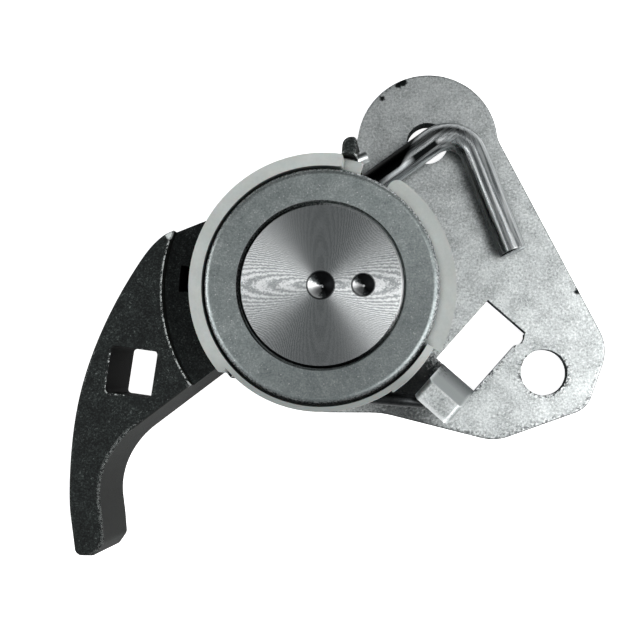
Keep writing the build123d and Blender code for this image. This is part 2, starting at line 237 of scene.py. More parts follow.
# %% A material and its finish
def new_material(name, settings):
    """A material with a principled shader, and the part's own coordinates in millimetres."""
    material = bpy.data.materials.new(name)
    material.use_nodes = True
    material.node_tree.nodes.clear()
    shader = put(material, "ShaderNodeBsdfPrincipled", settings)
    put(material, "ShaderNodeOutputMaterial", links={"Surface": shader})
    own = put(material, "ShaderNodeTexCoord").outputs["Object"]
    place = put(material, "ShaderNodeVectorMath", {"operation": "SCALE", "Scale": 1 / MM}, {0: own})
    return material, shader, place.outputs[0]


def finish_with(material, shader, colour, roughness=None, height=None, depth_mm=0.0):
    """Plugs a finish into its shader: colour, roughness, and a height whose one stands this many millimetres."""
    wires = material.node_tree.links
    wires.new(colour, shader.inputs["Base Color"])
    if roughness is not None:
        wires.new(roughness, shader.inputs["Roughness"])
    if height is not None:
        bump = put(material, "ShaderNodeBump", {"Distance": depth_mm * MM, "Strength": 1.0}, {"Height": height})
        wires.new(bump.outputs[0], shader.inputs["Normal"])


print("materials so far:", len(bpy.data.materials))

# %% [markdown]
# Paper: matt and nearly white. The picture was cut out on white, and to light a plain sheet up to that white would burn
# out the metal on it. So to the camera the sheet glows like a light table and stays white, while it throws only a
# little light back up at the part's walls.

# %% Matt paper
PAPER_GLOW_SEEN = 0.95
PAPER_GLOW_THROWN = 0.15
PAPER_FIBRE_MM = 14.0
PAPER_TONES = [(0.0, "#F4F5F5"), (1.0, "#FAFBFB")]
paper, paper_shader, paper_place = new_material(
    "matt_paper", {"Roughness": 0.9, "Emission Color": linear("#FFFFFF"), "Emission Strength": PAPER_GLOW_THROWN}
)
paper_fibres = put(paper, "ShaderNodeTexNoise", {"Scale": 1 / PAPER_FIBRE_MM, "Detail": 3.0}, {"Vector": paper_place})
paper_tone = put(paper, "ShaderNodeValToRGB", {"stops": PAPER_TONES}, {0: paper_fibres})
seen_first = put(paper, "ShaderNodeLightPath").outputs["Is Camera Ray"]
glow = put(paper, "ShaderNodeMapRange", {3: PAPER_GLOW_THROWN, 4: PAPER_GLOW_SEEN}, {0: seen_first})
paper.node_tree.links.new(glow.outputs[0], paper_shader.inputs["Emission Strength"])
finish_with(paper, paper_shader, paper_tone.outputs[0])
floor.data.materials.append(paper)
print("paper glow", PAPER_GLOW_SEEN)

# %% [markdown]
# Most surfaces of a used metal part share three things: a mottle of fine grains over wide clouds, faces that look
# different where they stand on their side, and painted shade where two pieces meet. Marks and stains are patches
# round a point.
# All of it could be painted by hand. Here a noise, the turn of the surface and the space round a point give it, so
# that it sits right from every side.


# %% Mottle, tilt, painted shade and patches
LOOKS = 6  # how many ways a shader looks from each point when it feels for an edge or a corner


def mottle(material, place, grain_mm, cloud_mm, cloud_share):
    """Fine grains over wide clouds, as a value round a half."""
    grains = {"Scale": 1 / grain_mm, "Detail": 4.0, "Roughness": 0.7}
    grain = put(material, "ShaderNodeTexNoise", grains, {"Vector": place})
    cloud = put(material, "ShaderNodeTexNoise", {"Scale": 1 / cloud_mm, "Detail": 3.0}, {"Vector": place})
    return put(material, "ShaderNodeMix", {0: cloud_share}, {2: grain, 3: cloud}).outputs[0]


def tilt(material, flat_at, steep_at):
    """How far a face has turned up on its side: nothing on a level face, one on a steep one."""
    facing = put(material, "ShaderNodeNewGeometry").outputs["True Normal"]
    upward = put(material, "ShaderNodeSeparateXYZ", links={0: facing}).outputs["Z"]
    level = put(material, "ShaderNodeMath", {"operation": "ABSOLUTE"}, {0: upward})
    return put(material, "ShaderNodeMapRange", {1: flat_at, 2: steep_at}, {0: level}).outputs[0]


def painted_shade(material, reach_mm, clean_at, dirty_at):
    """Painted shade in the corners: nothing in the open, one where little of the room is seen within this reach."""
    seen = put(material, "ShaderNodeAmbientOcclusion", {"samples": LOOKS, "Distance": reach_mm * MM}).outputs["AO"]
    return put(material, "ShaderNodeMapRange", {1: clean_at, 2: dirty_at}, {0: seen}).outputs[0]


def patch_round(material, place, middle, full_mm, clean_mm, most=1.0, grain=None, torn_mm=0.0):
    """A patch round a point, full up to one distance and gone at the next. A grain round a half tears its outline."""
    away = put(material, "ShaderNodeVectorMath", {"operation": "DISTANCE", 1: middle}, {0: place}).outputs["Value"]
    if grain is not None:
        away = put(material, "ShaderNodeMath", {"operation": "MULTIPLY_ADD", 1: torn_mm}, {0: grain, 2: away})
    outline = {1: clean_mm + torn_mm / 2, 2: full_mm + torn_mm / 2, 4: most}
    return put(material, "ShaderNodeMapRange", outline, {0: away})


print("finish helpers ready")

# %% [markdown]
# The plate is pressed from strip steel and barrel zinc plated. Zinc grows as tiny crystals, so the eye gets a pale
# mottle: grains of four tenths of a millimetre and wider clouds where the barrel rubbed. The steep faces are darker,
# partly from the rough cut and partly as painted shade, and painted shade darkens the corners under the hub. The
# real crystals are finer; at this picture's size a grain under a pixel and a half would only turn to grey.

# %% Zinc plated strip
ZINC_GRAIN_MM = 0.42
ZINC_CLOUD_MM = 4.5
ZINC_TONES = [(0.3, "#6E7272"), (0.4, "#A6AAAA"), (0.5, "#C6CACA"), (0.6, "#DDE1E0"), (0.7, "#FAFBFB")]
zinc, zinc_shader, zinc_place = new_material("barrel_zinc_plated_strip", {"Metallic": 1.0})
zinc_mix = mottle(zinc, zinc_place, ZINC_GRAIN_MM, ZINC_CLOUD_MM, cloud_share=0.35)
zinc_open = put(zinc, "ShaderNodeValToRGB", {"stops": ZINC_TONES}, {0: zinc_mix})
print("zinc grain", ZINC_GRAIN_MM, "mm")

# %% Cut and bent faces of the plate
# The punch drags the cut face into upright marks, about a third of a millimetre apart. The dark tone on every steep
# face is partly the rough cut and partly painted shade.
SHEAR_MARK_MM = 0.35
UPRIGHT_STRETCH = (1.0, 1.0, 0.12)
SHEAR_AND_SHADE_TONES = [(0.35, "#34393A"), (0.65, "#5E6464")]
drawn_up = put(zinc, "ShaderNodeVectorMath", {"operation": "MULTIPLY", 1: UPRIGHT_STRETCH}, {0: zinc_place})
shear_marks = put(zinc, "ShaderNodeTexNoise", {"Scale": 1 / SHEAR_MARK_MM, "Detail": 3.0}, {"Vector": drawn_up})
zinc_cut_and_shade = put(zinc, "ShaderNodeValToRGB", {"stops": SHEAR_AND_SHADE_TONES}, {0: shear_marks})
zinc_steep = tilt(zinc, flat_at=0.8, steep_at=0.55)
zinc_faces = put(zinc, "ShaderNodeMix", {"data_type": "RGBA"}, {0: zinc_steep, 6: zinc_open, 7: zinc_cut_and_shade}).outputs[2]
print("shear marks", SHEAR_MARK_MM, "mm apart")

# %% Flecks of the plating
# A few crystals stand clear of the rest: bright ones that catch the light, and dull ones with dust in them. The cut
# faces have no bright ones.
FLECK_MM = 0.6
BRIGHT_FROM, BRIGHT_FULL, BRIGHT_MOST = 0.57, 0.64, 0.42
DUSTY_FROM, DUSTY_FULL, DUSTY_MOST = 0.42, 0.35, 0.36
bright_crystal = {"data_type": "RGBA", 7: linear("#FBFCFC")}
dusty_crystal = {"data_type": "RGBA", 7: linear("#767B7B")}
fleck_noise = put(zinc, "ShaderNodeTexNoise", {"Scale": 1 / FLECK_MM, "Detail": 3.0}, {"Vector": zinc_place})
zinc_flat = put(zinc, "ShaderNodeMath", {"operation": "SUBTRACT", 0: 1.0}, {1: zinc_steep})
bright_grain = put(zinc, "ShaderNodeMapRange", {1: BRIGHT_FROM, 2: BRIGHT_FULL, 4: BRIGHT_MOST}, {0: fleck_noise})
bright_fleck = put(zinc, "ShaderNodeMath", {"operation": "MULTIPLY"}, {0: bright_grain, 1: zinc_flat})
dusty_fleck = put(zinc, "ShaderNodeMapRange", {1: DUSTY_FROM, 2: DUSTY_FULL, 4: DUSTY_MOST}, {0: fleck_noise})
zinc_lit = put(zinc, "ShaderNodeMix", bright_crystal, {0: bright_fleck, 6: zinc_faces}).outputs[2]
zinc_flecked = put(zinc, "ShaderNodeMix", dusty_crystal, {0: dusty_fleck, 6: zinc_lit}).outputs[2]
print("flecks", FLECK_MM, "mm")

# %% [markdown]
# The tab is bent up out of the plate. Its walls kept more zinc than a cut edge does and grow paler with their height,
# and its top edges are painted bright, as rubbed wear and as a painted highlight. A bevel of the mesh would catch
# the light there too, but a shader that looks inside the metal finds the edges without a change to the solid.

# %% The bent tab
TAB_WALL_MM = (4.3, 12.0)  # the heights between which the walls grow paler
TAB_TOP_MM = (8.0, 10.0)  # the heights between which the rubbed edges begin
TAB_RUB_AND_HIGHLIGHT_MOST = 0.75
EDGE_DEPTH, INNER_DEPTH = 0.62, 0.92
thin_zinc = {"data_type": "RGBA", 7: linear("#C0C4C4")}
rub_and_highlight_zinc = {"data_type": "RGBA", 7: linear("#F4F6F6")}


def near_edge(material, reach_mm):
    """How near an outer edge is: one at the edge, nothing deeper in than this reach."""
    settings = {"samples": LOOKS, "inside": True, "only_local": True, "Distance": reach_mm * MM}
    depth = put(material, "ShaderNodeAmbientOcclusion", settings).outputs["AO"]
    return put(material, "ShaderNodeMapRange", {1: INNER_DEPTH, 2: EDGE_DEPTH}, {0: depth}).outputs[0]


zinc_height = put(zinc, "ShaderNodeSeparateXYZ", links={0: zinc_place}).outputs["Z"]
above_plate = put(zinc, "ShaderNodeMapRange", {1: TAB_WALL_MM[0], 2: TAB_WALL_MM[1]}, {0: zinc_height})
bent_wall = put(zinc, "ShaderNodeMath", {"operation": "MULTIPLY"}, {0: above_plate, 1: zinc_steep})
zinc_bent = put(zinc, "ShaderNodeMix", thin_zinc, {0: bent_wall, 6: zinc_flecked}).outputs[2]
# The bright top edges are partly rubbed wear and partly a painted highlight.
on_tab = put(zinc, "ShaderNodeMapRange", {1: TAB_TOP_MM[0], 2: TAB_TOP_MM[1], 4: TAB_RUB_AND_HIGHLIGHT_MOST}, {0: zinc_height})
tab_edge = near_edge(zinc, reach_mm=0.9)
rub_and_highlight_edge = put(zinc, "ShaderNodeMath", {"operation": "MULTIPLY"}, {0: on_tab, 1: tab_edge})
zinc_rub_and_highlight = put(zinc, "ShaderNodeMix", rub_and_highlight_zinc, {0: rub_and_highlight_edge, 6: zinc_bent}).outputs[2]
print("tab rubbed above", TAB_TOP_MM[0], "mm")

# %% Nicks along the plate's rim
# Knocks leave dark nicks and bright ones side by side, most of them along the free corner at the lower right.
NICK_MM = 0.55
NICK_TONES = [(0.5, "#14181A"), (0.6, "#F6F8F8")]
FREE_CORNER_MM = (44.0, -31.0, 4.0)
NICKS_END_MM = (4.3, 4.6)  # above the plate's face, where the tab begins
FEW_NICKS, MANY_NICKS = 0.62, 0.47
NICK_SOFTNESS = 0.05
corner_worn = patch_round(zinc, zinc_place, FREE_CORNER_MM, full_mm=14.0, clean_mm=24.0)
nicks_from = put(zinc, "ShaderNodeMapRange", {3: FEW_NICKS, 4: MANY_NICKS}, {0: corner_worn})
on_rim = put(zinc, "ShaderNodeMapRange", {1: NICKS_END_MM[1], 2: NICKS_END_MM[0]}, {0: zinc_height})
nick_noise = put(zinc, "ShaderNodeTexNoise", {"Scale": 1 / NICK_MM, "Detail": 2.0}, {"Vector": zinc_place})
over_nick = put(zinc, "ShaderNodeMath", {"operation": "SUBTRACT"}, {0: nick_noise, 1: nicks_from})
nicks = put(zinc, "ShaderNodeMapRange", {2: NICK_SOFTNESS}, {0: over_nick})
face_nicks = put(zinc, "ShaderNodeMath", {"operation": "MULTIPLY"}, {0: nicks, 1: on_rim})
plate_edge = near_edge(zinc, reach_mm=1.6)
rim_nicks = put(zinc, "ShaderNodeMath", {"operation": "MULTIPLY"}, {0: face_nicks, 1: plate_edge})
nick_tone = put(zinc, "ShaderNodeValToRGB", {"stops": NICK_TONES}, {0: fleck_noise})
nicked = {0: rim_nicks, 6: zinc_rub_and_highlight, 7: nick_tone}
zinc_knocked = put(zinc, "ShaderNodeMix", {"data_type": "RGBA"}, nicked).outputs[2]
print("nicks", NICK_MM, "mm")

# %% Burn marks and painted shade on the plate
# Four small burn marks sit on the rim, and painted shade fills the pocket under the hub, between the hub and the tab.
# Each row: the middle, how far the mark is full, where it ends, how strong it is and how far its outline is torn.
PLATE_TOP_MM = 4.2
BURNS_MM = [
    ((15.8, 47.9, PLATE_TOP_MM), 0.75, 1.15, 1.0, 1.0),
    ((14.8, 47.3, PLATE_TOP_MM), 0.55, 0.95, 1.0, 1.0),
    ((11.2, 44.3, PLATE_TOP_MM), 0.35, 0.75, 1.0, 1.0),
    ((53.6, 0.8, PLATE_TOP_MM), 0.35, 0.75, 1.0, 1.0),
]
HUB_SHADE_MM = [
    ((17.5, -18.0, PLATE_TOP_MM), 5.0, 9.0, 0.9, 9.0),
    ((14.5, -29.5, PLATE_TOP_MM), 5.0, 13.0, 0.75, 9.0),
]
CORNER_SHADE_MOST = 0.85
ZINC_DULL, ZINC_SMOOTH = 0.58, 0.38
# One dark tone serves the burn marks and the painted shade in the corners and under the hub.
burn_and_shade_tone = {"data_type": "RGBA", 7: linear("#1C1F1F")}
corner_shade = painted_shade(zinc, reach_mm=5.0, clean_at=0.6, dirty_at=0.2)
zinc_burns_and_shade = put(zinc, "ShaderNodeMath", {"operation": "MULTIPLY", 1: CORNER_SHADE_MOST}, {0: corner_shade})
for middle, full_mm, clean_mm, most, torn_mm in BURNS_MM + HUB_SHADE_MM:
    mark = patch_round(zinc, zinc_place, middle, full_mm, clean_mm, most, fleck_noise, torn_mm)
    zinc_burns_and_shade = put(zinc, "ShaderNodeMath", {"operation": "MAXIMUM"}, {0: zinc_burns_and_shade, 1: mark})
zinc_burnt_and_shaded = put(zinc, "ShaderNodeMix", burn_and_shade_tone, {0: zinc_burns_and_shade, 6: zinc_knocked})
zinc_dull = put(zinc, "ShaderNodeMapRange", {1: 0.3, 2: 0.7, 3: ZINC_DULL, 4: ZINC_SMOOTH}, {0: zinc_mix})
zinc_rough = put(zinc, "ShaderNodeMath", {"operation": "MAXIMUM"}, {0: zinc_dull, 1: zinc_steep})
finish_with(zinc, zinc_shader, zinc_burnt_and_shaded.outputs[2], zinc_rough.outputs[0], zinc_mix, depth_mm=0.03)
print("plate finished,", len(BURNS_MM), "burn marks")

# %% [markdown]
# The stud's head was faced on a lathe: the tool drew a fine spiral, about a fifth of a millimetre from line to line.
# Such a face shines across the grooves and not along them, so it shows a bow tie. An anisotropic shader with its
# grain turned round the axis gives that. The picture's own rows of dots are nearly as fine as the grooves, and the
# two beat: long closed loops lie left and right of the middle and fine ripples between them. A ring pattern beaten
# against straight rows, in the part's own coordinates, draws the same loops and keeps them on the steel.

# %% Faced steel
GROOVE_MM = 0.189
ROW_MM = 0.1965
CHATTER_MM = 0.45
CHATTER_SHAKES_MM = 0.3
FACED_ROUGH = 0.42
ACROSS_GROOVES = 0.9
LOOP_TONES = [(0.0, "#868A8B"), (0.5, "#C2C5C6"), (1.0, "#F4F5F5")]
# Each row: the way that a set of rows is crossed, and how strongly it beats.
BEATS = [((1.0, 0.0, 0.0), 0.36), ((1.0, 1.0, 0.0), 0.16), ((0.0, 1.0, 0.0), 0.08)]
GROOVE_RAD_PER_MM = 2 * math.pi / GROOVE_MM
ROW_RAD_PER_MM = 2 * math.pi / ROW_MM
faced_steel = {"Metallic": 1.0, "Roughness": FACED_ROUGH, "Anisotropic": ACROSS_GROOVES, "Anisotropic Rotation": 0.25}
faced, faced_shader, faced_place = new_material("lathe_faced_steel", faced_steel)
round_axis = put(faced, "ShaderNodeTangent", {"direction_type": "RADIAL", "axis": "Z"})
faced.node_tree.links.new(round_axis.outputs[0], faced_shader.inputs["Tangent"])
flat = put(faced, "ShaderNodeVectorMath", {"operation": "MULTIPLY", 1: (1.0, 1.0, 0.0)}, {0: faced_place})
radius = put(faced, "ShaderNodeVectorMath", {"operation": "LENGTH"}, {0: flat}).outputs["Value"]
chatters = {"Scale": 1 / CHATTER_MM, "Detail": 3.0, "Roughness": 0.7}
chatter = put(faced, "ShaderNodeTexNoise", chatters, {"Vector": faced_place})
shaken = put(faced, "ShaderNodeMath", {"operation": "MULTIPLY_ADD", 1: CHATTER_SHAKES_MM}, {0: chatter, 2: radius})
beat_sum = put(faced, "ShaderNodeMath", {"operation": "ADD", 0: 0.5, 1: 0.0})
for direction, depth in BEATS:
    rows = put(faced, "ShaderNodeVectorMath", {"operation": "DOT_PRODUCT", 1: direction}, {0: flat}).outputs["Value"]
    rows_out = put(faced, "ShaderNodeMath", {"operation": "ABSOLUTE"}, {0: rows})
    rows_turn = put(faced, "ShaderNodeMath", {"operation": "MULTIPLY", 1: -ROW_RAD_PER_MM}, {0: rows_out})
    turn = put(faced, "ShaderNodeMath", {"operation": "MULTIPLY_ADD", 1: GROOVE_RAD_PER_MM}, {0: shaken, 2: rows_turn})
    wave = put(faced, "ShaderNodeMath", {"operation": "SINE"}, {0: turn})
    beat_sum = put(faced, "ShaderNodeMath", {"operation": "MULTIPLY_ADD", 1: depth}, {0: wave, 2: beat_sum})
loops = put(faced, "ShaderNodeValToRGB", {"stops": LOOP_TONES}, {0: beat_sum})
print("beats drawn:", len(BEATS))

# %% Centre drillings
# The drill left plain cones without the rings of grooves. Each is painted with light on one side and shade on the
# other, broken up by the drill's chatter, and has a dark burr round its mouth.
# Each row: the middle, and the radius of the mouth.
DRILLINGS_MM = [((0.0, 0.0, 0.0), 2.75), ((8.45, 0.0, 0.0), 2.25)]
BURR_MM = (0.12, 0.24)
BURR_MOST = 0.85
CONE_CHATTER = 0.7
CONE_ROUGH = 0.4
CONE_LIGHT_WAY = (0.8, 0.5, 0.0)
CONE_LIGHT_AND_SHADE_TONES = [(0.3, "#1A1B1C"), (0.62, "#5C6061"), (0.8, "#F2F3F3")]
burnt_burr = {"data_type": "RGBA", 7: linear("#101112")}
burr = put(faced, "ShaderNodeMath", {"operation": "ADD", 0: 0.0, 1: 0.0})
for middle, mouth in DRILLINGS_MM:
    away = put(faced, "ShaderNodeVectorMath", {"operation": "DISTANCE", 1: middle}, {0: flat}).outputs["Value"]
    from_mouth = put(faced, "ShaderNodeMath", {"operation": "SUBTRACT", 1: mouth}, {0: away})
    beside = put(faced, "ShaderNodeMath", {"operation": "ABSOLUTE"}, {0: from_mouth})
    line = put(faced, "ShaderNodeMapRange", {1: BURR_MM[1], 2: BURR_MM[0], 4: BURR_MOST}, {0: beside})
    burr = put(faced, "ShaderNodeMath", {"operation": "MAXIMUM"}, {0: burr, 1: line})
cone = tilt(faced, flat_at=0.995, steep_at=0.9)
cone_facing = put(faced, "ShaderNodeNewGeometry").outputs["Normal"]
toward_cone_light = {"operation": "DOT_PRODUCT", 1: CONE_LIGHT_WAY}
cone_painted_light = put(faced, "ShaderNodeVectorMath", toward_cone_light, {0: cone_facing}).outputs["Value"]
cone_light_and_chatter = put(faced, "ShaderNodeMath", {"operation": "MULTIPLY_ADD", 1: CONE_CHATTER}, {0: chatter, 2: cone_painted_light})
cone_lit_and_shaded = put(faced, "ShaderNodeValToRGB", {"stops": CONE_LIGHT_AND_SHADE_TONES}, {0: cone_light_and_chatter})
cone_tone = put(faced, "ShaderNodeMix", {"data_type": "RGBA"}, {0: cone, 6: loops, 7: cone_lit_and_shaded}).outputs[2]
burred = put(faced, "ShaderNodeMix", burnt_burr, {0: burr, 6: cone_tone})
grooved = put(faced, "ShaderNodeMapRange", {3: ACROSS_GROOVES, 4: 0.0}, {0: cone})
faced.node_tree.links.new(grooved.outputs[0], faced_shader.inputs["Anisotropic"])
faced_rough = put(faced, "ShaderNodeMapRange", {3: FACED_ROUGH, 4: CONE_ROUGH}, {0: cone})
groove_turn = put(faced, "ShaderNodeMath", {"operation": "MULTIPLY", 1: GROOVE_RAD_PER_MM}, {0: radius})
groove = put(faced, "ShaderNodeMath", {"operation": "SINE"}, {0: groove_turn})
finish_with(faced, faced_shader, burred.outputs[2], faced_rough.outputs[0], groove.outputs[0], depth_mm=0.001)
print("stud finished,", len(DRILLINGS_MM), "drillings")

# %% [markdown]
# The cap ring is turned and dull plated: greyer than the plate, with a close mottle and fine bright specks where
# crystals catch the light. Its rounded rim is rubbed bright in places, and painted shade darkens its lower right.
# A picture of worn metal could be wrapped round it. Noises in millimetres need no unwrapping, and their grain has one
# size on the face and on the rim.

# %% Dull plated ring
SATIN_GRAIN_MM = 0.36
SATIN_CLOUD_MM = 2.6
GLINT_MM = 0.38
GLINT_FROM, GLINT_FULL = 0.69, 0.75
LOW_RIGHT_WAY = (0.7, -0.7, 0.0)
LOWER_RIGHT_SHADE_MM = (-4.0, 16.0)
LOWER_RIGHT_SHADE_MOST = 0.5
SATIN_TONES = [(0.3, "#7C8485"), (0.43, "#A3ABAB"), (0.55, "#BAC2C1"), (0.68, "#E0E5E4")]
RIM_TONES = [(0.42, "#5A6061"), (0.6, "#DDE0E0")]
glinting = {"data_type": "RGBA", 7: linear("#FAFBFB")}
lower_right_shade_tone = {"data_type": "RGBA", 7: linear("#565B5C")}
satin, satin_shader, satin_place = new_material("dull_plated_steel", {"Metallic": 1.0, "Roughness": 0.42})
satin_mix = mottle(satin, satin_place, SATIN_GRAIN_MM, SATIN_CLOUD_MM, cloud_share=0.3)
satin_open = put(satin, "ShaderNodeValToRGB", {"stops": SATIN_TONES}, {0: satin_mix})
glints = put(satin, "ShaderNodeTexNoise", {"Scale": 1 / GLINT_MM, "Detail": 1.0}, {"Vector": satin_place})
glint = put(satin, "ShaderNodeMapRange", {1: GLINT_FROM, 2: GLINT_FULL}, {0: glints})
satin_lit = put(satin, "ShaderNodeMix", glinting, {0: glint, 6: satin_open}).outputs[2]
rim = tilt(satin, flat_at=0.93, steep_at=0.7)
rubs = put(satin, "ShaderNodeValToRGB", {"stops": RIM_TONES}, {0: glints})
satin_rubbed = put(satin, "ShaderNodeMix", {"data_type": "RGBA"}, {0: rim, 6: satin_lit, 7: rubs}).outputs[2]
# Painted shade darkens the ring towards its lower right.
to_low_right = {"operation": "DOT_PRODUCT", 1: LOW_RIGHT_WAY}
low_right = put(satin, "ShaderNodeVectorMath", to_low_right, {0: satin_place}).outputs["Value"]
lower_right_shading = {1: LOWER_RIGHT_SHADE_MM[0], 2: LOWER_RIGHT_SHADE_MM[1], 4: LOWER_RIGHT_SHADE_MOST}
lower_right_shade = put(satin, "ShaderNodeMapRange", lower_right_shading, {0: low_right})
satin_shaded = put(satin, "ShaderNodeMix", lower_right_shade_tone, {0: lower_right_shade, 6: satin_rubbed})
finish_with(satin, satin_shader, satin_shaded.outputs[2], None, satin_mix, depth_mm=0.02)
print("ring finished")

# %% [markdown]
# The arm is a sintered casting with a black coat. Its top is a pepper of dark and lighter grains a third of a
# millimetre wide, its walls are smoother and a little browner, and the coat has worn through to bright metal along
# the edges that get knocked: all along the step, down the front of the foot and at the square hole's outer side. The
# worn edges could be painted on a mask. A bevel that only the shader sees finds them on the solid itself.

# %% Black coated sinter
PEPPER_MM = 0.34
PEPPER_CLOUD_MM = 3.0
PEPPER_TONES = [(0.3, "#060707"), (0.46, "#151818"), (0.56, "#282D2C"), (0.63, "#3E4442"), (0.7, "#8A918F")]
SINTER_WALL_TONES = [(0.35, "#0D0E0D"), (0.65, "#171916")]
coated_sinter = {"Roughness": 0.6, "IOR": 1.5, "Specular IOR Level": 0.2}
sinter, sinter_shader, sinter_place = new_material("black_coated_sinter", coated_sinter)
pepper = mottle(sinter, sinter_place, PEPPER_MM, PEPPER_CLOUD_MM, cloud_share=0.2)
sinter_top = put(sinter, "ShaderNodeValToRGB", {"stops": PEPPER_TONES}, {0: pepper})
sinter_wall = put(sinter, "ShaderNodeValToRGB", {"stops": SINTER_WALL_TONES}, {0: pepper})
sinter_steep = tilt(sinter, flat_at=0.9, steep_at=0.5)
top_and_wall = {0: sinter_steep, 6: sinter_top, 7: sinter_wall}
sinter_faces = put(sinter, "ShaderNodeMix", {"data_type": "RGBA"}, top_and_wall).outputs[2]
print("pepper", PEPPER_MM, "mm")

# %% Knocked edges
FLAT_AGREES, CORNER_AGREES = 0.985, 0.9
SPECK_SOFTNESS = 0.06


def knocked_edges(material, place, reach_mm, speck_mm, specks_from):
    """Where an edge has been knocked bare: a band of this reach along every corner, broken into specks."""
    rounded = put(material, "ShaderNodeBevel", {"samples": LOOKS, "Radius": reach_mm * MM})
    facing = put(material, "ShaderNodeNewGeometry").outputs["True Normal"]
    agree = put(material, "ShaderNodeVectorMath", {"operation": "DOT_PRODUCT"}, {0: rounded, 1: facing})
    corner = put(material, "ShaderNodeMapRange", {1: FLAT_AGREES, 2: CORNER_AGREES}, {0: agree.outputs["Value"]})
    specks = {"Scale": 1 / speck_mm, "Detail": 2.0, "Roughness": 0.6}
    speck = put(material, "ShaderNodeTexNoise", specks, {"Vector": place})
    over = put(material, "ShaderNodeMath", {"operation": "SUBTRACT"}, {0: speck, 1: specks_from})
    bare = put(material, "ShaderNodeMapRange", {2: SPECK_SOFTNESS}, {0: over})
    return put(material, "ShaderNodeMath", {"operation": "MULTIPLY"}, {0: corner, 1: bare}).outputs[0]


print("edges are found by a bevel in the shader")

# %% Where the arm is worn
# Each worn place is a stretch of edge: close to it the specks join up, and elsewhere only a few show.
STEP_EDGE_MM = (34.4, 35.2)
HOLE_SIDE_MM = (-45.2, -18.0, 0.0)
FOOT_SIDE_MM = (-43.5, -41.0, 0.0)
FOOT_FRONT_MM = (-50.3, -49.0)
FEW_SPECKS, MANY_SPECKS = 0.66, 0.44
sinter_flat = put(sinter, "ShaderNodeVectorMath", {"operation": "MULTIPLY", 1: (1.0, 1.0, 0.0)}, {0: sinter_place})
from_pivot = put(sinter, "ShaderNodeVectorMath", {"operation": "LENGTH"}, {0: sinter_flat}).outputs["Value"]
step_edge = put(sinter, "ShaderNodeMapRange", {1: STEP_EDGE_MM[1], 2: STEP_EDGE_MM[0]}, {0: from_pivot})
hole_edge = patch_round(sinter, sinter_flat, HOLE_SIDE_MM, full_mm=5.0, clean_mm=6.5, most=0.7)
foot_edge = patch_round(sinter, sinter_flat, FOOT_SIDE_MM, full_mm=12.5, clean_mm=16.5)
to_right = put(sinter, "ShaderNodeSeparateXYZ", links={0: sinter_flat}).outputs["X"]
front_only = put(sinter, "ShaderNodeMapRange", {1: FOOT_FRONT_MM[0], 2: FOOT_FRONT_MM[1]}, {0: to_right})
foot_front = put(sinter, "ShaderNodeMath", {"operation": "MULTIPLY"}, {0: foot_edge, 1: front_only})
worn = put(sinter, "ShaderNodeMath", {"operation": "MAXIMUM"}, {0: step_edge, 1: hole_edge})
worn = put(sinter, "ShaderNodeMath", {"operation": "MAXIMUM"}, {0: worn, 1: foot_front})
specks_from = put(sinter, "ShaderNodeMapRange", {3: FEW_SPECKS, 4: MANY_SPECKS}, {0: worn})
sinter_bare = knocked_edges(sinter, sinter_place, reach_mm=0.75, speck_mm=0.5, specks_from=specks_from)
print("step worn at", STEP_EDGE_MM, "mm from the pivot")

# %% Worn ends of the step and the dark square hole
# Both ends of the step are rubbed down to a bright patch. The walls of the square hole and the arm's corners are
# painted black as shade.
PAD_TOP_MM = (20.0, 20.4)
STEP_ENDS_MM = [(-32.2, 11.3, 0.0), (-27.2, -20.7, 0.0)]
SQUARE_HOLE_MM = (-39.8, -17.1, 0.0)
bare_metal = {"data_type": "RGBA", 7: linear("#E4E9E7")}
painted_black_shade = {"data_type": "RGBA", 7: linear("#020202")}
sinter_bright = sinter_bare
for middle in STEP_ENDS_MM:
    rubbed = patch_round(sinter, sinter_flat, middle, full_mm=0.5, clean_mm=0.9, grain=pepper, torn_mm=2.4)
    sinter_bright = put(sinter, "ShaderNodeMath", {"operation": "MAXIMUM"}, {0: sinter_bright, 1: rubbed})
sinter_height = put(sinter, "ShaderNodeSeparateXYZ", links={0: sinter_place}).outputs["Z"]
pad_only = put(sinter, "ShaderNodeMapRange", {1: PAD_TOP_MM[0], 2: PAD_TOP_MM[1]}, {0: sinter_height})
pad_bright = put(sinter, "ShaderNodeMath", {"operation": "MULTIPLY"}, {0: sinter_bright, 1: pad_only})
sinter_worn = put(sinter, "ShaderNodeMix", bare_metal, {0: pad_bright, 6: sinter_faces}).outputs[2]
in_hole = patch_round(sinter, sinter_flat, SQUARE_HOLE_MM, full_mm=7.2, clean_mm=7.6)
hole_wall_shade = put(sinter, "ShaderNodeMath", {"operation": "MULTIPLY"}, {0: in_hole, 1: sinter_steep})
sinter_corner_shade = painted_shade(sinter, reach_mm=5.0, clean_at=0.5, dirty_at=0.1)
sinter_painted_shade = put(sinter, "ShaderNodeMath", {"operation": "MAXIMUM"}, {0: hole_wall_shade, 1: sinter_corner_shade})
sinter_done = put(sinter, "ShaderNodeMix", painted_black_shade, {0: sinter_painted_shade, 6: sinter_worn})
finish_with(sinter, sinter_shader, sinter_done.outputs[2], None, pepper, depth_mm=0.05)
print("arm finished,", len(STEP_ENDS_MM), "worn ends")

# %% [markdown]
# The sleeve is moulded from natural white nylon, which is slightly see-through and never quite shiny. Its thin wall,
# at the bottom, is painted darker as shade, and painted shade greys it where it goes under the ring. A plain white
# would look like paint, so a little of the light goes under the surface and comes out beside where it went in.

